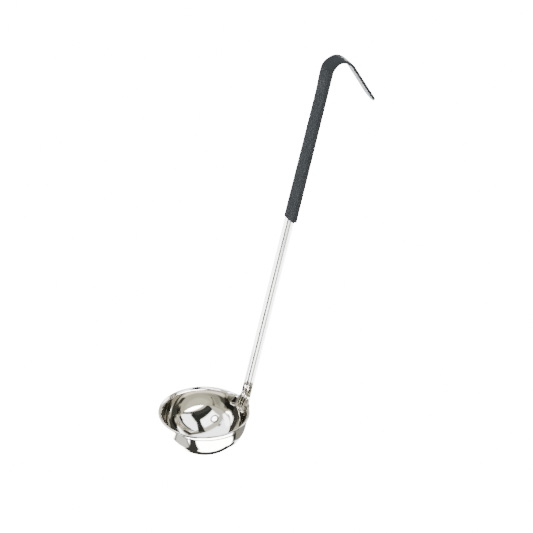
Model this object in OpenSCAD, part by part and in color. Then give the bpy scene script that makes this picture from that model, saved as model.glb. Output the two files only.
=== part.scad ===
// Small serving ladle: a bowl, neck, ribbed strap handle and hook pressed from one sheet of
// stainless steel, with a plastic grip sleeve over the upper handle and the hook.
// The bowl stands on +Z with the centre of its flat underside at the origin. The handle is on +X.

/* [Bowl] */
// Outside diameter of the rim, over its turned-out lip
rim_d = 68; // [60:1:90]
// How far the lip stands out from the bowl's wall
lip_w = 1.5; // [1:0.1:2.5]
// Diameter of the flat underside
base_d = 12; // [8:1:20]
// Height of the bowl, from its underside to the top of the lip
bowl_h = 31; // [26:1:42]
// How far the lip turns outward from upright, in degrees
lip_turn = 75; // [60:5:85]

/* [Sheet] */
// Thickness of the steel sheet
steel_t = 1.2; // [0.9:0.1:1.6]

/* [Neck] */
// How far outside the rim the middle of the strap passes, at the rim's level
neck_out = 2; // [1:0.2:4]
// How far below the rim the wall starts to swell into the neck
neck_drop = 10; // [7:0.5:14]
// Height along the strap at which the neck ends and the plain strap begins
neck_rise = 5; // [4:0.5:9]
// How far the rim dips where it meets the strap
neck_dip = 1.2; // [0:0.2:3]
// Width of the fillet between the dipped rim and each edge of the strap
neck_fillet_w = 1.6; // [1.2:0.2:4]
// Height of that fillet
neck_fillet_h = 2.4; // [1.2:0.2:3.6]
// Width of the swelling on each side of the strap
neck_swell_w = 7.5; // [6:0.5:10]

/* [Handle] */
// Width of the strap
strap_w = 11.5; // [9:0.5:15]
// Lean of the handle away from the bowl's axis, in degrees
handle_lean = 15; // [8:1:22]
// Length of the straight handle, from the rim's level to the bend
handle_l = 275.5; // [200:0.5:330]

/* [Rib] */
// Width of the groove pressed along the front of the strap
rib_w = 3; // [2:0.2:5]
// Depth of the groove, and height of the rib that it makes on the back
rib_depth = 0.6; // [0.3:0.1:0.9]
// Height along the strap at which the groove starts
rib_start = 8; // [6:0.5:14]
// How far the groove runs on under the grip sleeve
rib_under = 14; // [6:1:30]

/* [Hook] */
// Radius of the hook's main bend, to the middle of the sheet
bend_r = 9.2; // [7:0.2:14]
// Turn of the main bend, in degrees
bend_turn = 112; // [110:1:125]
// Straight length between the main bend and the easing bend
land_l = 1.5; // [1:0.5:8]
// Radius of the easing bend that follows, to the middle of the sheet
ease_r = 17.2; // [12:0.2:30]
// Turn of the easing bend, in degrees
ease_turn = 26; // [10:1:35]
// Length of the hook's straight arm, up to its round tip
arm_l = 35.8; // [20:0.2:50]

/* [Grip sleeve] */
// Height along the strap at which the sleeve starts
sleeve_start = 155; // [90:1:190]
// Wall of the sleeve
sleeve_wall = 0.45; // [0.3:0.05:1]
// Clearance between the sleeve and the steel
sleeve_fit = 0.05; // [0.03:0.01:0.1]
// Radius of the sleeve's corners at its lower end
sleeve_corner_r = 1.4; // [0.6:0.2:3]

/* [Hidden] */
$fn = 64;
// Overrun of every cutting shape
over = 1;
// Step by which each bend stands over the straight strap, and the bowl and strap over the neck
seam = 0.03;
// Length by which a piece of the sheet runs on inside the next one
lap = 0.3;

rim_r = rim_d / 2;
wall_r = rim_r - lip_w;
base_r = base_d / 2;
half_t = steel_t / 2;
// Middle of the sheet where the wall stands upright, and the bend that turns the lip out from there
wall_mid_r = wall_r - half_t;
lip_r = lip_w / (1 - cos(lip_turn));
lip_z = bowl_h - half_t;
wall_top_z = lip_z - lip_r * sin(lip_turn);
// The wall is a quarter oval of two arcs that meet at 45 degrees, one from the floor and one to the top
join_share = 1 - cos(45);
oval_w = wall_r - base_r;
low_r = (oval_w * cos(45) - wall_top_z * join_share) / (cos(45) - join_share);
high_r = (wall_top_z * cos(45) - oval_w * join_share) / (cos(45) - join_share);
low_at = [base_r, low_r];
high_at = [wall_r - high_r, wall_top_z];

// Neck sector: the part of the wall that is drawn out into the strap
neck_z = bowl_h - neck_drop;
neck_reach = rim_r + neck_out;
strap_edge = strap_w / 2 - half_t;
fillet_edge = strap_edge + neck_fillet_w;
sector_edge = strap_w / 2 + neck_swell_w + neck_fillet_w;
rim_mid_r = rim_r - half_t;
sector_turn = asin(sector_edge / rim_mid_r);
cut_turn = asin((sector_edge + lap) / rim_mid_r);
// Angle on the high arc at which the sector starts
neck_angle = asin((wall_top_z - neck_z) / (high_r - half_t));
neck_foot_r = high_at[0] + (high_r - half_t) * cos(neck_angle);
neck_top_z = lip_z + neck_rise * cos(handle_lean);
neck_top_r = neck_reach + neck_rise * sin(handle_lean);
wall_rows = 5;
lip_rows = 5;
rows = wall_rows + lip_rows;
round_steps = 6;
neck_half_t = half_t - seam;
strap_columns = 3;
edge_columns = 3;
fillet_columns = 5;
swell_columns = 6;
fillet_from = strap_columns + edge_columns;
swell_from = fillet_from + fillet_columns;
half_columns = swell_from + swell_columns;
// One more column and row on each side run on inside the bowl's wall
end_column = half_columns + 1;
first_row = -1;

// Rib: the groove is a round-nosed channel, so its ends are parts of spheres
rib_r = (pow(rib_w / 2, 2) + pow(rib_depth, 2)) / (2 * rib_depth);
rib_axis = -half_t + rib_depth - rib_r;
rib_end = sleeve_start + rib_under;

function ease(s) = s * s * (3 - 2 * s);
function unit(v) = v / norm(v);

// Middle of the sheet up the plain wall and round the lip, as [radius, height], for a row's share of the way
wall_share = wall_rows / rows;
function lip_mid(share) =
    share < wall_share
    ? high_at + (high_r - half_t) * [
        cos(neck_angle * (1 - share / wall_share)),
        -sin(neck_angle * (1 - share / wall_share))
    ]
    : [wall_mid_r + lip_r, wall_top_z] + lip_r * [
        -cos(lip_turn * (share - wall_share) / (1 - wall_share)),
        sin(lip_turn * (share - wall_share) / (1 - wall_share))
    ];

// Radius of the drawn-out neck at a height: a cubic from the wall's slope to the strap's
neck_span = neck_top_z - neck_z;
function neck_mid_r(z) =
    let (
        s = (z - neck_z) / neck_span,
        foot_slope = tan(neck_angle) * neck_span,
        top_slope = tan(handle_lean) * neck_span
    )
    (2 * s * s * s - 3 * s * s + 1) * neck_foot_r
    + (s * s * s - 2 * s * s + s) * foot_slope
    + (3 * s * s - 2 * s * s * s) * neck_top_r
    + (s * s * s - s * s) * top_slope;

// How far round the fillet a column stands: 0 on the rim, 1 on the strap
function fillet_share(column) = max(0, min(1, 1 - (abs(column) - fillet_from) / fillet_columns));

// Sideways place of a column's top
function top_y(column) =
    let (c = abs(column))
    sign(column) * (
        c <= strap_columns ? strap_edge * c / strap_columns
        : c < swell_from ? fillet_edge - neck_fillet_w * sin(90 * fillet_share(column))
        : fillet_edge + (sector_edge - fillet_edge) * (c - swell_from) / swell_columns
    );

// Share that a column takes of the way from the dipped rim up to the neck's top, first round the
// fillet and then along the strap's straight edge
neck_h = neck_top_z - lip_z + neck_dip;
function rise_share(column) =
    let (edge_h = neck_h - neck_fillet_h, way = (fillet_from - abs(column)) / edge_columns)
    (neck_fillet_h * (1 - cos(90 * fillet_share(column))) + edge_h * max(0, min(1, way))) / neck_h;

// Share of the swelling and of the rim's dip that a column takes
function swell_share(column) =
    ease(max(0, 1 - max(0, abs(top_y(column)) - strap_edge) / (neck_swell_w + neck_fillet_w)));
function dip_share(column) =
    (1 - rise_share(column)) * ease(max(0, min(1, (half_columns - abs(column)) / swell_columns)));

// Radius and height of the sheet's middle on a column, for a row's share of the way up
function column_mid(column, share) =
    let (
        plain = lip_mid(share),
        rise = rise_share(column) * (neck_z + neck_span * share - plain[1]),
        z = plain[1] + rise - neck_dip * dip_share(column) * ease(max(0, share)),
        b = swell_share(column)
    )
    share < 0 ? plain : [(1 - b) * plain[0] + b * neck_mid_r(z), z];

function column_turn(column, share) =
    let (foot = sector_turn * column / half_columns, top = asin(top_y(column) / rim_mid_r))
    foot + (top - foot) * share;

// Share by which the round wall has flattened towards the strap's plane
function flat_share(column, share) = pow(swell_share(column), 2) * ease(share);

// A point of the sheet, moved off its middle by d along its normal and by e along its edge's outward way
function sheet_point(column, share, d, e) =
    let (
        near_share = 0.002,
        mid = column_mid(column, share),
        along = unit(column_mid(column, min(1, share + near_share)) - column_mid(column, share - near_share)),
        k = flat_share(column, max(0, share)),
        turn = column_turn(column, share),
        seen = turn * (1 - k),
        x = mid[0] * (k + (1 - k) * cos(turn)),
        y = sin(turn) * (k * rim_mid_r + (1 - k) * mid[0]),
        out = [along[1] * cos(seen), along[1] * sin(seen), -along[0]],
        up = [along[0] * cos(seen), along[0] * sin(seen), along[1]],
        w = fillet_share(column),
        side = [0, column < 0 ? -1 : 1, 0],
        edge = unit(neck_fillet_w * cos(90 * w) * up + neck_fillet_h * sin(90 * w) * side)
    )
    [x, y, mid[1]] + d * out + e * edge;

// One closed ring round the sheet's section on a column: up the outside, over the edge, down the inside
function edge_point(column, k) =
    sheet_point(column, 1, neck_half_t * cos(180 * k / round_steps),
        abs(column) < strap_columns ? 0 : neck_half_t * sin(180 * k / round_steps));
function column_ring(column) = concat(
    [for (i = [first_row : rows]) sheet_point(column, i / rows, neck_half_t, 0)],
    [for (k = [1 : round_steps - 1]) edge_point(column, k)],
    [for (i = [rows : -1 : first_row]) sheet_point(column, i / rows, -neck_half_t, 0)]
);

module neck() {
    side = rows - first_row + 1;
    ring = 2 * side + round_steps - 1;
    last = 2 * end_column;
    points = [for (c = [-end_column : end_column]) each column_ring(c)];
    sides = [
        for (c = [0 : last - 1], i = [0 : ring - 1])
            let (
                j = (i + 1) % ring,
                a = c * ring + i,
                b = c * ring + j,
                far_a = a + ring,
                far_b = b + ring
            )
            each [[a, far_b, far_a], [a, b, far_b]]
    ];
    // Each end is a strip of pairs across the sheet, closed by a fan over the round edge
    strip = [
        for (i = [0 : side - 2])
            each [[i, ring - 2 - i, i + 1], [i, ring - 1 - i, ring - 2 - i]]
    ];
    fan = [for (k = [0 : round_steps - 2]) [side - 1, side + 1 + k, side + k]];
    near_end = concat(strip, fan);
    far_end = [for (f = near_end) [f[0] + last * ring, f[2] + last * ring, f[1] + last * ring]];
    polyhedron(points = points, faces = concat(sides, near_end, far_end));
}

// Strip of the sheet's section, bent round a centre between two angles less than 90 degrees apart
module bent_strip(centre, mid_r, from, to) {
    reach = (mid_r + steel_t) * 2;
    middle = (from + to) / 2;
    translate(centre)
        intersection() {
            difference() {
                circle(r = mid_r + half_t);
                circle(r = mid_r - half_t);
            }
            polygon([
                [0, 0],
                reach * [cos(from), sin(from)],
                reach * [cos(middle), sin(middle)],
                reach * [cos(to), sin(to)]
            ]);
        }
}

module bowl_section() {
    square([base_r, steel_t]);
    bent_strip(low_at, low_r - half_t, -90, -45);
    bent_strip(high_at, high_r - half_t, -45, 0);
    bent_strip([wall_mid_r + lip_r, wall_top_z], lip_r, 180 - lip_turn, 180);
    translate([rim_mid_r, lip_z])
        circle(r = half_t);
}

module bowl() {
    difference() {
        rotate_extrude()
            bowl_section();
        translate([0, 0, neck_z])
            rotate([0, 0, -cut_turn])
                rotate_extrude(angle = 2 * cut_turn)
                    square([rim_r + over, neck_drop + over]);
    }
}

// Section of the strap, grown by an allowance: flat faces and full-round edges
module strap_section(grow) {
    flat = strap_w / 2 - half_t;
    square([steel_t + 2 * grow, 2 * flat], center = true);
    for (side = [-1, 1])
        translate([0, side * flat])
            circle(r = half_t + grow);
}

// Half of that section, from the strap's middle to one edge
module half_section(grow) {
    intersection() {
        rotate([0, 0, -90])
            strap_section(grow);
        translate([0, -half_t - grow - over])
            square([strap_w, steel_t + 2 * (grow + over)]);
    }
}

// A straight run of the strap between two heights along it, grown by an allowance
module straight_run(from, to, grow) {
    translate([0, 0, from])
        linear_extrude(to - from)
            strap_section(grow);
}

// A bend of the strap about a level axis at the origin, starting upward at -X
module bend(r, turn, grow) {
    rotate([90, 0, 180])
        rotate_extrude(angle = turn)
            translate([r, 0])
                strap_section(grow + seam);
}

// The hook from the top of the straight handle to its round tip, grown by an allowance
module hook_run(grow) {
    translate([bend_r, 0, handle_l]) {
        bend(bend_r, bend_turn, grow);
        rotate([0, bend_turn, 0]) {
            translate([-bend_r, 0, 0])
                straight_run(-lap, land_l + lap, grow);
            translate([ease_r - bend_r, 0, land_l]) {
                bend(ease_r, ease_turn, grow);
                rotate([0, ease_turn, 0])
                    translate([-ease_r, 0, 0])
                        hook_arm(grow);
            }
        }
    }
}

module hook_arm(grow) {
    straight_run(-lap, arm_l, grow);
    translate([0, 0, arm_l])
        rotate([90, 0, 90])
            rotate_extrude(angle = 180)
                half_section(grow);
}

// A round-nosed bar along the strap, of a radius about the rib's axis
module rib_bar(r, from, to) {
    translate([rib_axis, 0, from])
        cylinder(r = r, h = to - from);
    for (end = [from, to])
        translate([rib_axis, 0, end])
            sphere(r = r);
}

// The raised back of the rib, grown by an allowance
module rib_back(grow) {
    intersection() {
        rib_bar(rib_r + steel_t + grow, rib_start + rib_w / 2, rib_end - rib_w / 2);
        translate([0, -strap_w / 2, 0])
            cube([rib_r + steel_t + over, strap_w, handle_l]);
    }
}

module on_handle() {
    translate([neck_reach, 0, lip_z])
        rotate([0, handle_lean, 0])
            children();
}

module ladle_body() {
    color("silver") {
        bowl();
        neck();
        on_handle()
            difference() {
                union() {
                    straight_run(neck_rise - lap, handle_l + lap, 0);
                    hook_run(0);
                    rib_back(0);
                }
                rib_bar(rib_r, rib_start + rib_w / 2, rib_end - rib_w / 2);
            }
    }
}

// Outline of the sleeve's lower end on the strap's face, with its two corners rounded
module sleeve_outline(half_w, length) {
    translate([-half_w, sleeve_corner_r])
        square([2 * half_w, length - sleeve_corner_r]);
    translate([-half_w + sleeve_corner_r, 0])
        square([2 * (half_w - sleeve_corner_r), length]);
    for (side = [-1, 1])
        translate([side * (half_w - sleeve_corner_r), sleeve_corner_r])
            circle(r = sleeve_corner_r);
}

module grip_sleeve() {
    grow = sleeve_fit + sleeve_wall;
    half_w = strap_w / 2 + grow;
    deep = steel_t + 2 * (grow + rib_depth);
    on_handle()
        color("dimgray")
            difference() {
                union() {
                    intersection() {
                        union() {
                            straight_run(sleeve_start, handle_l + lap, grow);
                            rib_back(grow);
                        }
                        translate([-deep, 0, sleeve_start])
                            rotate([90, 0, 90])
                                linear_extrude(2 * deep)
                                    sleeve_outline(half_w, handle_l - sleeve_start + over);
                    }
                    hook_run(grow);
                }
                straight_run(sleeve_start - over, handle_l + lap, sleeve_fit);
                hook_run(sleeve_fit);
                rib_back(sleeve_fit);
            }
}

ladle_body();
grip_sleeve();
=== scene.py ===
import math

import bpy
import numpy as np
from mathutils import Matrix, Vector


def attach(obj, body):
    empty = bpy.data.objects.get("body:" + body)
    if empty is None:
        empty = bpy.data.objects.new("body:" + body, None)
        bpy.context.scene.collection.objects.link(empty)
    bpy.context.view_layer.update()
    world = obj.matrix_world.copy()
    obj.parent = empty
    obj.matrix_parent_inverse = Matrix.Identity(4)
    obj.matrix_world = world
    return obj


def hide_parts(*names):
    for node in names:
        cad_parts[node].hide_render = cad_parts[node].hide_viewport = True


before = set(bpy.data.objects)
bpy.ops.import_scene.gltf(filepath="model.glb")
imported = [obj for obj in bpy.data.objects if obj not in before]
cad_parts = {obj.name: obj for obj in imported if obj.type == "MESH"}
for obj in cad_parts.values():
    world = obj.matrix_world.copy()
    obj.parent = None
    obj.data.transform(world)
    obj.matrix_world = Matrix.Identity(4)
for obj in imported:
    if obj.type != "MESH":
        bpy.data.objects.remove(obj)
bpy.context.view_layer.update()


# ---------------------------------------------------------------------------------------------
# Ladle body: one stainless sheet. The bowl is drawn deep and its lip turned outward, the tab
# left in the blank is drawn up out of the wall into a strap with a groove pressed along its
# front, and the strap's end is bent over to a hook. All of it is polished bright.

# Sizes are in mm: the bowl stands on z = 0 round the z axis, and the handle leans towards +X
rim_r, wall_r, base_r, bowl_h, sheet_t = 34.0, 32.5, 6.0, 31.0, 1.2
half_t = sheet_t / 2
lip_turn = math.radians(75)
lip_r = (rim_r - wall_r) / (1 - math.cos(lip_turn))
lip_z = bowl_h - half_t
wall_top_z = lip_z - lip_r * math.sin(lip_turn)

# The bowl's low and high arcs meet at 45 degrees, the one flat with the base, the other upright at the wall
turn_45 = math.sqrt(0.5)
low_r = ((wall_r - base_r) * turn_45 - wall_top_z * (1 - turn_45)) / (2 * turn_45 - 1)
high_r = (wall_top_z * turn_45 - (wall_r - base_r) * (1 - turn_45)) / (2 * turn_45 - 1)

# The neck, the strap, the hook (a bend, a short land, an easing bend and a straight arm) and the groove
neck_reach, neck_drop, neck_rise = 36.0, 10.0, 5.0
neck_dip, fillet_w, fillet_h, swell_w = 1.2, 1.6, 2.4, 7.5
strap_w, lean, handle_l = 12.0, math.radians(15), 275.5
bend_r, bend_turn, land_l = 9.2, math.radians(112), 1.5
ease_r, ease_turn, arm_l = 17.2, math.radians(26), 35.8
groove_floor, groove_w, groove_depth = 1.5, 4.1, 0.55
groove_from, groove_to, groove_ramp = 8.0, 169.0, 1.8

neck_z = bowl_h - neck_drop
strap_edge = strap_w / 2 - half_t
fillet_edge = strap_edge + fillet_w
sector_edge = strap_w / 2 + swell_w + fillet_w
rim_mid_r = rim_r - half_t
sector_turn = math.asin(sector_edge / rim_mid_r)
neck_angle = math.asin((wall_top_z - neck_z) / (high_r - half_t))
neck_foot_r = wall_r - high_r + (high_r - half_t) * math.cos(neck_angle)
neck_top = (neck_reach + neck_rise * math.sin(lean), lip_z + neck_rise * math.cos(lean))
arc_1, arc_2 = bend_r * bend_turn, ease_r * ease_turn
tip_from = handle_l + arc_1 + land_l + arc_2 + arm_l


def between(low, value, high):
    """The value, held between low and high."""
    return min(high, max(low, value))


def ease_share(s):
    """A share held between 0 and 1, and eased at both ends."""
    s = between(0.0, s, 1.0)
    return s * s * (3 - 2 * s)


def wall_point(a):
    """Middle of the sheet on the bowl's high arc, an angle a below the wall's top, as (radius, height)."""
    return wall_r - high_r + (high_r - half_t) * math.cos(a), wall_top_z - (high_r - half_t) * math.sin(a)


def wall_and_lip(share):
    """Middle of the plain sheet from the neck's foot up the wall and round the lip, as (radius, height)."""
    if share < 0.5:
        return wall_point(neck_angle * (1 - share / 0.5))
    a = lip_turn * (share - 0.5) / 0.5
    return wall_r - half_t + lip_r * (1 - math.cos(a)), wall_top_z + lip_r * math.sin(a)


def neck_radius(z):
    """Radius of the sheet drawn out into the strap: a cubic from the wall's slope to the strap's."""
    span = neck_top[1] - neck_z
    s = (z - neck_z) / span
    return ((2 * s**3 - 3 * s**2 + 1) * neck_foot_r + (s**3 - 2 * s**2 + s) * math.tan(neck_angle) * span
            + (3 * s**2 - 2 * s**3) * neck_top[0] + (s**3 - s**2) * math.tan(lean) * span)


# Folds that the drawing left across the neck: where they run, how far they take to fade out there, then
# the depth and the waves (in radians per mm) of the folds, and of the finer ripples over them
fold_from, fold_to, fold_half_w = 20.0, 40.0, 5.6
fold_fade_low, fold_fade_high, fold_fade_side = 4.0, 2.5, 1.2
fold_depth, fold_wave, fold_sway, sway_wave = 0.13, 1.8, 0.9, 0.4
ripple_depth, ripple_wave, ripple_slant = 0.04, 3.4, 0.6


def neck_fade(y, z):
    """How far the folds are present at a place across the neck and a height: 1 all over its middle."""
    return (ease_share((z - fold_from) / fold_fade_low) * ease_share((fold_to - z) / fold_fade_high)
            * ease_share((fold_half_w - abs(y)) / fold_fade_side))


def neck_fold(y, z):
    """Depth of the shallow upright folds and ripples, fading out above, below and to the sides."""
    return neck_fade(y, z) * (fold_depth * math.sin(fold_wave * y + fold_sway * math.sin(sway_wave * z))
                              + ripple_depth * math.sin(ripple_wave * y - ripple_slant * z))


# Painted dark on the steel, from 0 for bright to 1 for dark: painted dark reflection, and painted shade in
# the neck's folds. In the neck: between its folds, at most, and the depth of a fold that takes it from
# none to all
neck_painted_dark, neck_painted_dark_most, neck_painted_dark_depth = 0.22, 0.9, 0.12
# Painted dark reflection in the wall's hollow corners beside the neck: how far, where across and upward,
# and their soft edges
corner_painted_dark, corner_inner, corner_outer, corner_low, corner_high = 0.72, 4.5, 17.5, 16.5, 28.5
corner_soft_inner, corner_soft_outer, corner_soft_z = 2.0, 3.0, 1.5


def neck_darkened(y, z):
    """How far the neck is painted dark: painted shade mostly in its folds, a little between them."""
    return between(0.0, neck_painted_dark * neck_fade(y, z) + neck_fold(y, z) / neck_painted_dark_depth, neck_painted_dark_most)


def corner_darkened(y, z):
    """How far the hollow corners of the wall beside the neck are painted dark, as painted dark reflection."""
    return (corner_painted_dark * ease_share((abs(y) - corner_inner) / corner_soft_inner)
            * ease_share((corner_outer - abs(y)) / corner_soft_outer)
            * ease_share((z - corner_low) / corner_soft_z) * ease_share((corner_high - z) / corner_soft_z))


def line_darkened(y, share, middle, half_w, soft):
    """How far a place across the strap is painted dark, by a line of painted dark reflection along it with
    soft edges.
    """
    return share * between(0.0, (half_w - abs(y - middle)) / soft, 1.0)


def neck_point(side_y, rise, dip, foot_turn, share):
    """A point of the neck's middle sheet. side_y is its column's place across the strap, rise its share of
    the way up to the neck's top, dip its share of the rim's dip, foot_turn its angle round the bowl at the
    neck's foot, and share its way up the column."""
    swell = ease_share(1 - max(0.0, abs(side_y) - strap_edge) / (swell_w + fillet_w))
    plain = wall_and_lip(share)
    risen = rise * (neck_z + (neck_top[1] - neck_z) * share - plain[1])
    z = plain[1] + risen - neck_dip * dip * ease_share(share)
    r = (1 - swell) * plain[0] + swell * neck_radius(z) + neck_fold(side_y, z)
    flat = swell**2 * ease_share(share)
    turn = foot_turn + (math.asin(side_y / rim_mid_r) - foot_turn) * share
    x = r * (flat + (1 - flat) * math.cos(turn))
    y = math.sin(turn) * (flat * rim_mid_r + (1 - flat) * r)
    return np.array([x, y, z])


def handle_point(s):
    """Place and heading of the strap's middle a length s above the rim, as (x, z, heading from upright)."""
    x, z, a = neck_reach, lip_z, lean
    for length, radius in ((handle_l, 0), (arc_1, bend_r), (land_l, 0),
                           (arc_2, ease_r), (arm_l + strap_w, 0)):
        go = min(s, length)
        if radius:
            cx, cz = x + radius * math.cos(a), z - radius * math.sin(a)
            a += go / radius
            x, z = cx - radius * math.cos(a), cz + radius * math.sin(a)
        else:
            x, z = x + go * math.sin(a), z + go * math.cos(a)
        s -= go
        if s <= 0:
            break
    return x, z, a


def hook_stops(bend_n, ease_n, arm_n):
    """Lengths above the rim for rows round the hook: its bend, its easing bend, its arm up to the tip."""
    return ([handle_l + arc_1 * i / bend_n for i in range(bend_n + 1)]
            + [handle_l + arc_1 + land_l + arc_2 * i / ease_n for i in range(ease_n + 1)]
            + [tip_from - arm_l * (1 - i / arm_n) for i in range(1, arm_n + 1)])


# Columns of the sheet round the bowl, as (place across the strap, share of the rise, share of the dip,
# angle at the foot): across the strap, down its edge, round the fillet, then out along the dipped rim
neck_h = neck_top[1] - lip_z + neck_dip
floor_step, groove_n, flank_n, edge_n, fillet_n, swell_n, rest_n = 0.3, 8, 9, 6, 12, 16, 180
foot_strap, foot_edge, foot_fillet, foot_swell = 3, 6, 11, 17  # where each of these ends along the foot
strap_half = [floor_step * i for i in range(3)]
strap_half += [groove_floor / 2 + (groove_w - groove_floor) / (2 * groove_n) * i for i in range(groove_n + 1)]
strap_half += [groove_w / 2 + (strap_edge - groove_w / 2) * i / flank_n for i in range(1, flank_n + 1)]
half = [(y, 1.0, 0.0, foot_strap * y / strap_edge) for y in strap_half]
for i in range(1, edge_n + 1):
    rise = 1 - (1 - fillet_h / neck_h) * i / edge_n
    half.append((strap_edge, rise, 1 - rise, foot_strap + (foot_edge - foot_strap) * i / edge_n))
for i in range(1, fillet_n + 1):
    t = math.pi / 2 * (1 - i / fillet_n)
    rise = fillet_h * (1 - math.cos(t)) / neck_h
    half.append((fillet_edge - fillet_w * math.sin(t), rise, 1 - rise,
                 foot_edge + (foot_fillet - foot_edge) * i / fillet_n))
for i in range(1, swell_n + 1):
    half.append((fillet_edge + (sector_edge - fillet_edge) * i / swell_n, 0.0, ease_share(1 - i / swell_n),
                 foot_fillet + (foot_swell - foot_fillet) * i / swell_n))
half = [(y, rise, dip, sector_turn * foot / foot_swell) for y, rise, dip, foot in half]
sector = [(-y, rise, dip, -t) for y, rise, dip, t in reversed(half[1:])] + half
rest = [sector_turn + (2 * math.pi - 2 * sector_turn) * i / (rest_n + 1) for i in range(1, rest_n + 1)]

# Plain rows from the floor's middle up to the neck's foot, then rows up the neck or the wall and lip
floor_n, arc_n, neck_rows = 4, 24, 40
plain_rows = [(base_r * i / floor_n, half_t) for i in range(1, floor_n + 1)]
for i in range(1, arc_n + 1):
    a = math.pi / 4 * i / arc_n
    plain_rows.append((base_r + (low_r - half_t) * math.sin(a), low_r - (low_r - half_t) * math.cos(a)))
plain_rows += [wall_point(math.pi / 4 + (neck_angle - math.pi / 4) * i / arc_n) for i in range(1, arc_n + 1)]
points, faces, grid = [(0.0, 0.0, half_t)], [], []
pressed, painted_dark_inside = {}, {}  # the groove's depth, and how far the inner face is painted dark, by point
for c in range(len(sector) + rest_n):
    by_neck = c < len(sector)
    turn = sector[c][3] if by_neck else rest[c - len(sector)]
    column = [(r * math.cos(turn), r * math.sin(turn), z) for r, z in plain_rows]
    if by_neck:
        painted_dark_inside.update({len(points) + i: corner_darkened(p[1], p[2]) for i, p in enumerate(column)})
    for i in range(1, neck_rows + 1):
        if by_neck:
            p = neck_point(*sector[c], i / neck_rows)
            darkened = max(neck_darkened(sector[c][0], p[2]), corner_darkened(p[1], p[2]))
            painted_dark_inside[len(points) + len(column)] = darkened
            column.append(p)
        else:
            r, z = wall_and_lip(i / neck_rows)
            column.append((r * math.cos(turn), r * math.sin(turn), z))
    grid.append(range(len(points), len(points) + len(column)))
    points += column
for c in range(len(grid)):
    a, b = grid[c], grid[(c + 1) % len(grid)]
    faces.append((0, a[0], b[0]))
    faces += [(a[i], a[i + 1], b[i + 1], b[i]) for i in range(len(a) - 1)]

# The strap carries on from the neck's top: rows across it along the handle and round the hook, closer
# together at the neck, at the groove's upper end and in the bends
middle, strap_n = len(half) - 1, len(strap_half) - 1
strap_columns = range(middle - strap_n, middle + strap_n + 1)
places = [sector[c][0] for c in strap_columns]
across = [grid[c][-1] for c in strap_columns]
floor_dark_from, floor_dark_ramp, shoulder_dark_to, shoulder_dark_ramp = 95, 35, 48, 20
stops = []
for first, last, step in ((neck_rise + 0.6, 22, 0.6), (22.5, 150, 2.5), (150, 176, 1.0),
                          (178, handle_l, 4.0)):
    stops += list(np.arange(first, last, step))
stops += hook_stops(32, 10, 8)
stops += [tip_from + strap_edge * math.sin(math.pi / 2 * i / 12) for i in range(1, 12)]
for s in stops:
    x, z, a = handle_point(s)
    narrow = math.sqrt(1 - (max(0.0, s - tip_from) / strap_edge) ** 2)
    in_groove = ease_share(min(s - groove_from, groove_to - s) / groove_ramp)
    # Lines of painted dark reflection along the strap
    dark_lines = (  # how far it is painted dark, middle across the strap, half width, soft edge
        # the groove's two walls, its floor on the upper part, and the shoulder beside it near the bowl
        (0.5, 1.15, 1.0, 0.4), (0.95, -2.4, 1.0, 0.3),
        (0.62 * ease_share((s - floor_dark_from) / floor_dark_ramp), -1.0, 1.6, 0.3),
        (0.85 * ease_share((shoulder_dark_to - s) / shoulder_dark_ramp), 3.7, 0.7, 0.3),
    )
    row = []
    for y in places:
        down_wall = (groove_w / 2 - abs(y)) / (groove_w - groove_floor) * 2
        fold = neck_fold(y, z)
        pressed[len(points)] = groove_depth * in_groove * between(0.0, down_wall, 1.0)
        by_lines = max(in_groove * line_darkened(y, *line) for line in dark_lines)
        painted_dark_inside[len(points)] = max(by_lines, neck_darkened(y, z))
        row.append(len(points))
        points.append((x + fold * math.cos(a), y * narrow, z - fold * math.sin(a)))
    faces += [(across[i], row[i], row[i + 1], across[i + 1]) for i in range(len(row) - 1)]
    across = row
tip_bulge = 0.3 * np.array([math.sin(a), 0, math.cos(a)])
points.append(np.mean([points[i] for i in (across[0], across[-1])], axis=0) + tip_bulge)
faces += [(across[i], len(points) - 1, across[i + 1]) for i in range(len(across) - 1)]

# The sheet's two faces stand half its thickness off that middle, joined by a full-round edge
points = np.array(points)
normals = np.zeros_like(points)
for f in faces:
    n = np.cross(points[f[2]] - points[f[0]], points[f[-1]] - points[f[1]])
    for i in f:
        normals[i] += n
normals /= np.linalg.norm(normals, axis=1)[:, None]
following = {}
for f in faces:
    for i, j in zip(f, f[1:] + f[:1]):
        following[(i, j)] = following.get((i, j), 0) + 1
loop_next = {i: j for i, j in following if (j, i) not in following}
edge_loop = [next(iter(loop_next))]
while loop_next[edge_loop[-1]] != edge_loop[0]:
    edge_loop.append(loop_next[edge_loop[-1]])
count, round_n = len(points), 8
dent = np.array([pressed.get(i, 0.0) for i in range(count)])[:, None]
verts = list(points + (half_t - dent) * normals) + list(points - (half_t + dent) * normals)
skin = faces + [tuple(i + count for i in reversed(f)) for f in faces]
# The turned edge round the bowl is painted dark too, as painted shade under the lip, from just over its
# middle down
edge_dark_from, bowl_edge_top = round_n / 2 - 1, 33
rings, painted_dark_edge = [], {}
for k, i in enumerate(edge_loop):
    before, after = points[edge_loop[k - 1]], points[edge_loop[(k + 1) % len(edge_loop)]]
    out = np.cross(after - before, normals[i])
    out /= np.linalg.norm(out)
    ring = [i]
    for m in range(1, round_n):
        t = math.pi * m / round_n
        painted_dark_edge[len(verts)] = 1.0 if m >= edge_dark_from and points[i][2] < bowl_edge_top else 0.0
        ring.append(len(verts))
        verts.append(points[i] + half_t * (math.cos(t) * normals[i] + math.sin(t) * out))
    rings.append(ring + [i + count])
for k in range(len(rings)):
    a, b = rings[k], rings[(k + 1) % len(rings)]
    skin += [(b[m], a[m], a[m + 1], b[m + 1]) for m in range(round_n)]

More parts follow.
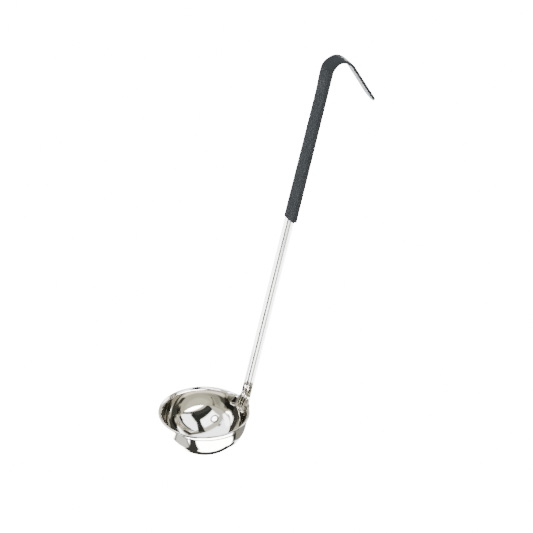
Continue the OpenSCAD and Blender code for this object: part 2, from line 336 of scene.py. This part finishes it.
mesh = bpy.data.meshes.new("pressed_steel_body")
mesh.from_pydata([tuple(0.001 * v for v in p) for p in verts], [], skin)
mesh.update()
# The mask of painted dark reflection and shade, per point
painted_dark = mesh.attributes.new("painted_dark", "FLOAT", "POINT")
for i, value in {**painted_dark_inside, **painted_dark_edge}.items():
    painted_dark.data[i].value = value
steel_body = bpy.data.objects.new("pressed_steel_body", mesh)
bpy.context.scene.collection.objects.link(steel_body)
for p in mesh.polygons:
    p.use_smooth = True


def new_group(name, inputs, outputs):
    """A shader node group with named sockets, its nodes, its links and its two ends."""
    group = bpy.data.node_groups.new(name, "ShaderNodeTree")
    for label, kind, value in inputs:
        socket = group.interface.new_socket(label, in_out="INPUT", socket_type=kind)
        if value is not None:
            socket.default_value = value
    for label, kind in outputs:
        group.interface.new_socket(label, in_out="OUTPUT", socket_type=kind)
    start, end = group.nodes.new("NodeGroupInput"), group.nodes.new("NodeGroupOutput")
    return group, group.nodes, group.links, start, end


def feed(links, socket, value):
    """Link a node's output to the socket, or set the socket to a number, a vector or a colour."""
    if isinstance(value, bpy.types.NodeSocket):
        links.new(value, socket)
    else:
        socket.default_value = value


def math_node(nodes, links, operation, *values):
    node = nodes.new("ShaderNodeMath")
    node.operation = operation
    for socket, value in zip(node.inputs, values):
        feed(links, socket, value)
    return node.outputs[0]


def vector_node(nodes, links, operation, *values):
    node = nodes.new("ShaderNodeVectorMath")
    node.operation = operation
    for socket, value in zip(node.inputs, values):
        feed(links, socket, value)
    return node.outputs["Value" if operation == "LENGTH" else "Vector"]


def mix_color(nodes, links, factor, a, b):
    """Colour a where the factor is 0, colour b where it is 1."""
    node = nodes.new("ShaderNodeMix")
    node.data_type, node.blend_type, node.clamp_factor = "RGBA", "MIX", True
    links.new(factor, node.inputs[0])
    for socket, color in ((node.inputs[6], a), (node.inputs[7], b)):
        feed(links, socket, (*color, 1.0) if isinstance(color, tuple) else color)
    return node.outputs[2]


def noise_node(nodes, links, vector, scale, detail, roughness=0.5):
    node = nodes.new("ShaderNodeTexNoise")
    for label, value in (("Vector", vector), ("Scale", scale), ("Detail", detail), ("Roughness", roughness)):
        feed(links, node.inputs[label], value)
    return node.outputs["Fac"]


def range_node(nodes, links, *value_and_limits):
    """Value mapped from the first two limits to the last two, and held there."""
    node = nodes.new("ShaderNodeMapRange")
    for socket, value in zip(node.inputs, value_and_limits):
        feed(links, socket, value)
    return node.outputs[0]


def group_node(nodes, links, group, *values):
    node = nodes.new("ShaderNodeGroup")
    node.node_tree = group
    for socket, value in zip(node.inputs, values):
        feed(links, socket, value)
    return node.outputs[0]


# Soft smudges of handling, hairlines of use, and relief: shared by the steel and the plastic
smudges, nodes, links, start, end = new_group("smudges", [
    ("Place", "NodeSocketVector", None), ("Scale", "NodeSocketFloat", 40.0),
    ("Least", "NodeSocketFloat", 0.0), ("Most", "NodeSocketFloat", 1.0)],
    [("Value", "NodeSocketFloat")])
cloud = noise_node(nodes, links, start.outputs[0], start.outputs[1], 3.0, 0.55)
links.new(range_node(nodes, links, cloud, 0.35, 0.68, start.outputs[2], start.outputs[3]), end.inputs[0])

hairlines, nodes, links, start, end = new_group("hairlines", [
    ("Place", "NodeSocketVector", None), ("Turn", "NodeSocketFloat", 0.0),
    ("Fineness", "NodeSocketFloat", 2500.0)],
    [("Mask", "NodeSocketFloat")])
turned = nodes.new("ShaderNodeVectorRotate")
turned.rotation_type = "EULER_XYZ"
spin = nodes.new("ShaderNodeCombineXYZ")
for socket in spin.inputs:
    links.new(start.outputs[1], socket)
links.new(start.outputs[0], turned.inputs["Vector"])
links.new(spin.outputs[0], turned.inputs["Rotation"])
drawn_out = vector_node(nodes, links, "MULTIPLY", turned.outputs[0], (1.0, 1.0, 0.03))
fine = noise_node(nodes, links, drawn_out, start.outputs[2], 1.0)
patch = noise_node(nodes, links, start.outputs[0], 130.0, 1.0)
links.new(math_node(nodes, links, "MULTIPLY", range_node(nodes, links, fine, 0.66, 0.70, 0.0, 1.0),
                    range_node(nodes, links, patch, 0.48, 0.60, 0.0, 1.0)), end.inputs[0])

relief, nodes, links, start, end = new_group("relief", [
    ("Place", "NodeSocketVector", None), ("Scale", "NodeSocketFloat", 100.0),
    ("Depth", "NodeSocketFloat", 0.0001), ("Lines", "NodeSocketFloat", 0.0)],
    [("Normal", "NodeSocketVector")])
waves = noise_node(nodes, links, start.outputs[0], start.outputs[1], 1.0)
height = math_node(nodes, links, "SUBTRACT", waves, start.outputs[3])
bump = nodes.new("ShaderNodeBump")
links.new(height, bump.inputs["Height"])
links.new(start.outputs[2], bump.inputs["Distance"])
links.new(bump.outputs[0], end.inputs[0])

# Polished steel: a mirror that the drawing left faintly wavy, with polish streaks, smudges and hairlines,
# with painted shade in crevices, and nearly black where it is painted with dark reflection
bright_steel, smudged_steel = (0.63, 0.612, 0.582), (0.60, 0.58, 0.545)
# The painted shade of crevices, and the near black of painted dark reflection
crevice_shade_steel, painted_dark_steel = (0.08, 0.08, 0.07), (0.012, 0.012, 0.010)
steel = bpy.data.materials.new("polished_steel")
steel.use_nodes = True
nodes, links = steel.node_tree.nodes, steel.node_tree.links
bsdf = nodes["Principled BSDF"]
bsdf.inputs["Metallic"].default_value = 1.0
place = nodes.new("ShaderNodeTexCoord").outputs["Object"]
leant = nodes.new("ShaderNodeVectorRotate")
leant.rotation_type = "Y_AXIS"
links.new(place, leant.inputs["Vector"])
leant.inputs["Angle"].default_value = -lean
drawn_out = vector_node(nodes, links, "MULTIPLY", leant.outputs[0], (1.0, 1.0, 0.02))
streaks = noise_node(nodes, links, drawn_out, 3500.0, 2.0)
smudge = group_node(nodes, links, smudges, place, 45.0, 0.0, 1.0)
lines = math_node(nodes, links, "MAXIMUM", group_node(nodes, links, hairlines, place, 0.5, 2600.0),
                  group_node(nodes, links, hairlines, place, 2.1, 3100.0))
streaked = range_node(nodes, links, streaks, 0.3, 0.7, 0.015, 0.04)
rough = math_node(nodes, links, "MULTIPLY_ADD", smudge, 0.02, streaked)
links.new(math_node(nodes, links, "MULTIPLY_ADD", lines, 0.10, rough), bsdf.inputs["Roughness"])
# Painted shade: the steel's colour is darkened in crevices found by ambient occlusion
crevice_shade = nodes.new("ShaderNodeAmbientOcclusion")
crevice_shade.samples, crevice_shade.only_local = 8, True
crevice_shade.inputs["Distance"].default_value = 0.0022
# Painted dark reflection: nearly black where the mesh's mask of painted dark reflection is set
painted_dark_map = nodes.new("ShaderNodeAttribute")
painted_dark_map.attribute_name = "painted_dark"
color = mix_color(nodes, links, smudge, bright_steel, smudged_steel)
color = mix_color(nodes, links, range_node(nodes, links, crevice_shade.outputs["AO"], 0.45, 0.90, 0.0, 1.0),
                  crevice_shade_steel, color)
links.new(mix_color(nodes, links, painted_dark_map.outputs["Fac"], color, painted_dark_steel), bsdf.inputs["Base Color"])
links.new(group_node(nodes, links, relief, place, 75.0, 0.00003, 0.0), bsdf.inputs["Normal"])
# Light still in the bowl after three bounces is taken as an even, dim glow
bounce = nodes.new("ShaderNodeLightPath")
bsdf.inputs["Emission Color"].default_value = (0.12, 0.12, 0.10, 1)
links.new(math_node(nodes, links, "GREATER_THAN", bounce.outputs["Glossy Depth"], 3.5),
          bsdf.inputs["Emission Strength"])
mesh.materials.append(steel)
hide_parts("ladle_body")
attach(steel_body, "root")


# ---------------------------------------------------------------------------------------------
# Grip sleeve: a soft plastic tube shrunk skin-tight over the upper handle and the hook, closed
# over the hook's round tip, with the corners of its open lower end rounded.
sleeve_from, sleeve_half_w, sleeve_half_t, sleeve_wall, corner_r = 150.0, 6.25, 1.09, 0.45, 1.4
bend_spread, end_spread, back_fullness, front_fullness = 0.35, 0.45, 0.9, 0.8
gather_from, gather_ramp = 22, 18  # where the front starts to gather below the bend, and over what length
rib_share, rib_fade, rib_margin, rib_soft = 0.4, 3.0, 0.5, 1.5  # how the strap's rib shows through the back
section_n, edge_cos, face_sin = 40, 0.35, 0.5


def sleeve_spread(s):
    """How much wider the sleeve lies at s than at the hook: it spreads a little towards its open end."""
    return (bend_spread * between(0.0, (handle_l + arc_1 - s) / arc_1, 1.0)
            + end_spread * max(0.0, handle_l - s) / (handle_l - sleeve_from))


def sleeve_back(s):
    """How much fuller the sleeve's back is at s, where it bridges from the rib to the strap's edges."""
    return back_fullness * ease_share((handle_l + 0.8 * arc_1 - s) / (0.6 * arc_1))


def sleeve_front(s):
    """How much fuller the sleeve's front is at s, where it gathers at the start of the bend."""
    return (front_fullness * ease_share((s - handle_l + gather_from) / gather_ramp)
            * ease_share((handle_l + 0.5 * arc_1 - s) / (0.4 * arc_1)))


def sleeve_ring(s, half_w, half_h, corner, rib):
    """A ring round the strap at s: flat faces, full-round edges, and the corner's cut-back at the open end.
    corner is the share of that cut-back, and rib the height of the strap's rib under the sleeve."""
    ring = []
    half_w += sleeve_spread(s)
    flat_w = max(half_w - half_h, 0.0)
    for i in range(section_n):
        t = 2 * math.pi * (i + 0.5) / section_n
        cy, cx = math.cos(t), math.sin(t)
        y = math.copysign(flat_w, cy) * min(1.0, abs(cy) / edge_cos) + half_h * cy
        x = half_h * cx
        if cx > 0:
            over_rib = ease_share((groove_w / 2 + rib_margin - abs(y)) / rib_soft)
            x += sleeve_back(s) * ease_share(cx / face_sin) + rib_share * rib * over_rib
        else:
            x -= sleeve_front(s) * ease_share(-cx / face_sin)
        beyond = max(0.0, abs(y) - (half_w - corner_r))
        back = corner * (corner_r - math.sqrt(max(0.0, corner_r**2 - min(beyond, corner_r) ** 2)))
        px, pz, a = handle_point(s + back)
        ring.append((px + x * math.cos(a), y, pz - x * math.sin(a)))
    return ring


# Rings from inside the open end, round its lip, as (length above the rim, depth under the outside), then
# up the outside, where the corners' rounding dies out, round the hook and over its tip
lip_rings = [(sleeve_from + 4.0 - 1.9 * i, sleeve_wall) for i in range(3)]
lip_rings += [(sleeve_from + 0.08, sleeve_wall * 0.7), (sleeve_from, sleeve_wall * 0.4),
              (sleeve_from + 0.10, 0.06)]
rings = []
for s, under in lip_rings:
    rings.append(sleeve_ring(s, sleeve_half_w - under, sleeve_half_t - under, 1.0, groove_depth))
for i in range(1, 10):
    s = sleeve_from + 0.1 + 0.5 * i
    rings.append(sleeve_ring(s, sleeve_half_w, sleeve_half_t, 1 - i / 10, groove_depth))
for s in list(np.arange(sleeve_from + 6, handle_l, 2.5)) + hook_stops(40, 14, 14):
    rib = groove_depth * ease_share((groove_to - s) / rib_fade)
    rings.append(sleeve_ring(s, sleeve_half_w, sleeve_half_t, 0.0, rib))
tip_n, tip_least = 14, 0.02
for i in range(1, tip_n + 1):
    t = (sleeve_half_w - tip_least) * math.sin(math.pi / 2 * i / tip_n)
    tip_w = math.sqrt(max(sleeve_half_w**2 - t**2, 0.0))
    rim = max(0.0, t - (sleeve_half_w - sleeve_half_t))
    tip_h = math.sqrt(max(sleeve_half_t**2 - rim**2, 0.0))
    rings.append(sleeve_ring(tip_from + t, max(tip_w, tip_least), max(tip_h, tip_least), 0.0, 0.0))
sleeve_points = [p for ring in rings for p in ring]
sleeve_faces = []
for k in range(len(rings) - 1):
    below, above = k * section_n, (k + 1) * section_n
    for i in range(section_n):
        j = (i + 1) % section_n
        sleeve_faces.append((below + i, below + j, above + j, above + i))
sleeve_faces.append(tuple((len(rings) - 1) * section_n + i for i in range(section_n)))
mesh = bpy.data.meshes.new("grip_sleeve_skin")
mesh.from_pydata([tuple(0.001 * v for v in p) for p in sleeve_points], [], sleeve_faces)
mesh.update()
for p in mesh.polygons:
    p.use_smooth = True
sleeve = bpy.data.objects.new("grip_sleeve_skin", mesh)
bpy.context.scene.collection.objects.link(sleeve)

# Satin plastic: nearly black, with a bluish sheen at the edges, a fine grain, smudges and hairlines
clean_plastic, handled_plastic = (0.035, 0.0385, 0.0405), (0.040, 0.0435, 0.0455)
plastic = bpy.data.materials.new("satin_plastic")
plastic.use_nodes = True
nodes, links = plastic.node_tree.nodes, plastic.node_tree.links
bsdf = nodes["Principled BSDF"]
bsdf.inputs["Specular IOR Level"].default_value = 0.006
bsdf.inputs["Sheen Weight"].default_value = 0.16
bsdf.inputs["Sheen Roughness"].default_value = 0.35
bsdf.inputs["Sheen Tint"].default_value = (0.78, 0.87, 1.0, 1.0)
place = nodes.new("ShaderNodeTexCoord").outputs["Object"]
smudge = group_node(nodes, links, smudges, place, 60.0, 0.0, 1.0)
lines = group_node(nodes, links, hairlines, place, 0.9, 2200.0)
grain = noise_node(nodes, links, place, 2600.0, 2.0)
handled = math_node(nodes, links, "MULTIPLY_ADD", grain, 0.4, smudge)
links.new(mix_color(nodes, links, handled, clean_plastic, handled_plastic), bsdf.inputs["Base Color"])
rough = range_node(nodes, links, smudge, 0.0, 1.0, 0.40, 0.45)
links.new(math_node(nodes, links, "MULTIPLY_ADD", lines, -0.10, rough), bsdf.inputs["Roughness"])
links.new(group_node(nodes, links, relief, place, 2200.0, 0.0000015, lines), bsdf.inputs["Normal"])
mesh.materials.append(plastic)
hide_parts("grip_sleeve")
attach(sleeve, "root")


# ---------------------------------------------------------------------------------------------
# Studio: a white photographer's tent over a white table, seen in the steel. Its cards and openings are
# placed by direction, as degrees from straight up (or straight down for the table) towards +X and +Y.
sky_plane, nodes, links, start, end = new_group(
    "sky_plane", [("Direction", "NodeSocketVector", None)],
    [("Plane", "NodeSocketVector"), ("Upward", "NodeSocketFloat")])
split = nodes.new("ShaderNodeSeparateXYZ")
links.new(start.outputs[0], split.inputs[0])
steep = math_node(nodes, links, "ABSOLUTE", split.outputs[2])
angle = math_node(nodes, links, "MULTIPLY", math_node(nodes, links, "ARCCOSINE", steep), 180 / math.pi)
flat = nodes.new("ShaderNodeCombineXYZ")
links.new(split.outputs[0], flat.inputs[0])
links.new(split.outputs[1], flat.inputs[1])
scaled = nodes.new("ShaderNodeVectorMath")
scaled.operation = "SCALE"
links.new(vector_node(nodes, links, "NORMALIZE", flat.outputs[0]), scaled.inputs[0])
links.new(angle, scaled.inputs["Scale"])
links.new(scaled.outputs[0], end.inputs[0])
links.new(math_node(nodes, links, "GREATER_THAN", split.outputs[2], 0.0), end.inputs[1])


def card_group(name, round_card):
    """Mask of a soft-edged card on the sky plane: a rectangle, or an oval where round_card is true."""
    group, nodes, links, start, end = new_group(name, [
        ("Plane", "NodeSocketVector", None), ("Centre", "NodeSocketVector", None),
        ("Turn", "NodeSocketFloat", 0.0), ("Half Size", "NodeSocketVector", None),
        ("Softness", "NodeSocketFloat", 2.0)],
        [("Mask", "NodeSocketFloat")])
    half_size, softness = start.outputs["Half Size"], start.outputs["Softness"]
    turned = nodes.new("ShaderNodeVectorRotate")
    turned.rotation_type = "Z_AXIS"
    from_centre = vector_node(nodes, links, "SUBTRACT", start.outputs["Plane"], start.outputs["Centre"])
    links.new(from_centre, turned.inputs["Vector"])
    turn = math_node(nodes, links, "MULTIPLY", start.outputs["Turn"], -math.pi / 180)
    links.new(turn, turned.inputs["Angle"])
    size = nodes.new("ShaderNodeSeparateXYZ")
    if round_card:
        shares = vector_node(nodes, links, "DIVIDE", turned.outputs[0], half_size)
        over = math_node(nodes, links, "SUBTRACT", vector_node(nodes, links, "LENGTH", shares), 1.0)
        links.new(half_size, size.inputs[0])
        least = math_node(nodes, links, "MINIMUM", size.outputs[0], size.outputs[1])
        beyond = math_node(nodes, links, "MULTIPLY", over, least)
    else:
        either_side = vector_node(nodes, links, "ABSOLUTE", turned.outputs[0])
        links.new(vector_node(nodes, links, "SUBTRACT", either_side, half_size), size.inputs[0])
        beyond = math_node(nodes, links, "MAXIMUM", size.outputs[0], size.outputs[1])
    fade = nodes.new("ShaderNodeMapRange")
    fade.interpolation_type = "SMOOTHSTEP"
    links.new(beyond, fade.inputs["Value"])
    links.new(softness, fade.inputs["From Max"])
    links.new(math_node(nodes, links, "MULTIPLY", softness, -1.0), fade.inputs["From Min"])
    fade.inputs["To Min"].default_value, fade.inputs["To Max"].default_value = 1.0, 0.0
    links.new(fade.outputs[0], end.inputs[0])
    return group


card, lamp = card_group("soft_card", False), card_group("soft_lamp", True)
tent = [  # piece, centre, turn, half size, softness, light; a later piece covers those before it
    (card, (-12, 33), 0, (42, 22), 4, (5.2, 5.4, 5.7)),
    (card, (-60, 25), 52, (22, 10), 3, (8, 8.3, 8.8)),
    (card, (55, 2), -60, (22, 9), 3, (8, 8.3, 8.8)),
    (card, (-30, -20), 4, (26, 14), 3, (8, 8.3, 8.8)),
    (card, (22, -32), 15, (16, 30), 1.5, (6, 6.2, 6.5)),
    (card, (0, -77), 0, (70, 10), 2.5, (26, 26.5, 27)),
    (card, (-18, 3), 14, (30, 4.5), 3, (1.5, 1.42, 1.2)),
    (lamp, (-42, -12), 0, (12.5, 11.5), 1.5, (0.16, 0.15, 0.12)),
    (lamp, (-42, -12.5), 0, (8, 7), 1.4, (14, 14, 14)),
    (lamp, (-36, 13), 0, (6, 4), 3, (0.35, 0.33, 0.28)),
    (card, (38, -29), -57, (24, 3.2), 1.6, (0.14, 0.14, 0.12)),
    (card, (47, -47), -57, (8, 4), 1.6, (0.05, 0.05, 0.05)),
    (card, (-26, -47), 3, (31, 11.2), 1.5, (0.05, 0.055, 0.05)),
    (card, (-24, -54), -9, (30, 6), 2.5, (0.09, 0.095, 0.09)),
    (card, (2, -50), 30, (6, 9), 2.2, (0.05, 0.055, 0.05)),
    (card, (2.5, -14), 73, (26, 6.2), 1.5, (0.05, 0.055, 0.05)),
    (card, (24, 8), -12, (14, 4.2), 2.5, (0.26, 0.26, 0.22)),
    (card, (38, -3), -48, (11, 4.2), 2.2, (0.08, 0.08, 0.07)),
    (card, (23, -62.5), -3, (18, 2.9), 1.3, (0.10, 0.10, 0.09)),
]
tent += [  # the neck's own view, low behind the handle
    (card, (-71, 44), 59, (26, 7), 3, (0.5, 0.48, 0.38)),
    (card, (-75, 19), 72, (21, 7), 2, (0.08, 0.078, 0.065)),
    (card, (12, 78), -6, (20, 12), 4, (0.8, 0.77, 0.6)),
]
tent_again = [  # the tent as the bowl's walls pass it on to each other
    (card, (-5, 52), 0, (60, 22), 10, (2.2, 2.2, 1.85)),
    (card, (34, -14), 0, (32, 14), 9, (0.9, 0.9, 0.78)),
    (card, (15, -36), -8, (18, 10), 5, (0.2, 0.2, 0.18)),
    (card, (-8, -42), 0, (11, 4.5), 2, (0.15, 0.15, 0.13)),
    (lamp, (-19, -27), 0, (11, 10), 5, (4.2, 4, 3.4)),
    (card, (-42, -36), -52, (20, 6.5), 2, (0.13, 0.135, 0.12)),
    (card, (-37, -22), -75, (12, 6), 2, (0.13, 0.135, 0.12)),
    (card, (-4, -50.5), 2, (29, 7), 2, (0.13, 0.135, 0.12)),
    (card, (-59, -17), 66, (11, 5.5), 2, (0.06, 0.06, 0.05)),
    (card, (10, -65), -2, (32, 3.2), 1, (24, 24, 24)),
    (card, (-20, -60), -35, (8, 2.6), 1.5, (12, 12, 12)),
]
table = [  # the table and a painted shadow of the ladle near straight down, as the steel sees them
    (lamp, (0, 0), 0, (52.5, 52.5), 1.2, (0.5, 0.5, 0.47)),
    (lamp, (0, 0), 0, (48.5, 48.5), 1.2, (26, 26, 26)),
    (card, (0, 45), 0, (70, 32), 3, (26, 26, 26)),
    (card, (50, -2), 0, (12, 34), 2, (0.5, 0.49, 0.42)),
    (card, (41, -16), -70, (13, 3.5), 1.5, (0.07, 0.07, 0.065)),
    (card, (36, 26), 80, (18, 2.5), 2, (0.9, 0.9, 0.85)),
    (card, (-38, 10), 22, (22, 16), 2, (0.5, 0.5, 0.45)),
    (card, (-38, 10), 22, (17.5, 11.5), 2.5, (1.6, 1.6, 1.5)),
    # the dark pieces from here to the round lamp are the painted shadow of the ladle on the table
    (card, (11, 7), -18, (21, 11.5), 2, (0.09, 0.09, 0.085)),
    (card, (30, 4), 12, (9, 9), 2, (0.07, 0.07, 0.065)),
    (card, (-32, -13), 37, (19, 8), 2, (0.08, 0.08, 0.075)),
    (card, (-14, 6), 57, (14, 8), 2, (0.08, 0.08, 0.075)),
    (lamp, (-51, 54), 0, (13, 13), 3, (9.6, 9.9, 10.4)),
    (card, (-62, 36), 150, (14, 3.5), 2, (0.5, 0.48, 0.38)),
    (card, (-30, 65), 115, (14, 3.5), 2, (0.5, 0.48, 0.38)),
    (card, (-73, -6), 8, (12, 30), 3, (0.6, 0.58, 0.5)),
    (card, (2, 67), 0, (26, 9), 2, (0.04, 0.04, 0.035)),
]
tent_cloth, tent_cloth_again, table_cloth = (1.35, 1.3, 1.15), (1.6, 1.58, 1.3), (26.0, 26.0, 26.0)
room_light, backdrop = (1.5, 1.52, 1.56), 20.0
world = bpy.data.worlds.new("studio")
bpy.context.scene.world = world
world.use_nodes = True
nodes, links = world.node_tree.nodes, world.node_tree.links
direction = nodes.new("ShaderNodeTexCoord")
plane = nodes.new("ShaderNodeGroup")
plane.node_tree = sky_plane
links.new(direction.outputs["Generated"], plane.inputs[0])


def layer(cloth, pieces):
    """The cloth's light with the pieces laid over it, one after another."""
    light = cloth
    for kind, centre, turn, half_size, softness, color in pieces:
        values = (plane.outputs["Plane"], (*centre, 0), turn, (*half_size, 1), softness)
        light = mix_color(nodes, links, group_node(nodes, links, kind, *values), light, color)
    return light


path = nodes.new("ShaderNodeLightPath")
again = math_node(nodes, links, "GREATER_THAN", path.outputs["Glossy Depth"], 1.5)
above = mix_color(nodes, links, again, layer(tent_cloth, tent), layer(tent_cloth_again, tent_again))
seen = mix_color(nodes, links, plane.outputs["Upward"], layer(table_cloth, table), above)
lit = mix_color(nodes, links, path.outputs["Is Glossy Ray"], room_light, seen)
background = mix_color(nodes, links, path.outputs["Is Camera Ray"], lit, (backdrop, backdrop, backdrop))
links.new(background, nodes["Background"].inputs["Color"])

# The table top shows white to the camera and lights the ladle softly; the steel sees the cards instead
bpy.ops.mesh.primitive_plane_add(size=6, location=(0, 0, -0.0002))
floor = bpy.context.object
floor.name = "studio_table"
paper = bpy.data.materials.new("studio_paper")
paper.use_nodes = True
nodes, links = paper.node_tree.nodes, paper.node_tree.links
nodes.remove(nodes["Principled BSDF"])
path, side = nodes.new("ShaderNodeLightPath"), nodes.new("ShaderNodeNewGeometry")
glow, clear = nodes.new("ShaderNodeEmission"), nodes.new("ShaderNodeBsdfTransparent")
mixed = nodes.new("ShaderNodeMixShader")
strength = math_node(nodes, links, "MULTIPLY_ADD", path.outputs["Is Camera Ray"], backdrop - 1.0, 1.0)
links.new(strength, glow.inputs["Strength"])
see_through = math_node(nodes, links, "MAXIMUM", path.outputs["Is Glossy Ray"], side.outputs["Backfacing"])
links.new(see_through, mixed.inputs[0])
links.new(glow.outputs[0], mixed.inputs[1])
links.new(clear.outputs[0], mixed.inputs[2])
links.new(mixed.outputs[0], nodes["Material Output"].inputs["Surface"])
floor.data.materials.append(paper)

# Camera: a parallel view, as a very long lens gives, from above and across the bowl towards the handle.
# The middle of the bowl's mouth stands at mouth_px in the photograph's frame.
azimuth, elevation = math.radians(-32.17), math.radians(34.06)
photo_px, mouth_px, px_per_mm, distance = 533, (204.0, 412.37), 1.353, 2.0
right = Vector((math.cos(azimuth), math.sin(azimuth), 0))
back = Vector((math.sin(azimuth) * math.cos(elevation), -math.cos(azimuth) * math.cos(elevation),
               math.sin(elevation)))
up = back.cross(right)
per_px = 0.001 / px_per_mm
target = (Vector((0, 0, lip_z * 0.001)) + right * (photo_px / 2 - mouth_px[0]) * per_px
          + up * (mouth_px[1] - photo_px / 2) * per_px)
camera = bpy.data.objects.new("camera", bpy.data.cameras.new("camera"))
bpy.context.scene.collection.objects.link(camera)
camera.data.type = "ORTHO"
camera.data.ortho_scale = photo_px * per_px
facing = Matrix((right, up, back)).transposed().to_4x4()
camera.matrix_world = Matrix.Translation(target + back * distance) @ facing
camera.data.clip_start, camera.data.clip_end = 0.05, 20
bpy.context.scene.camera = camera
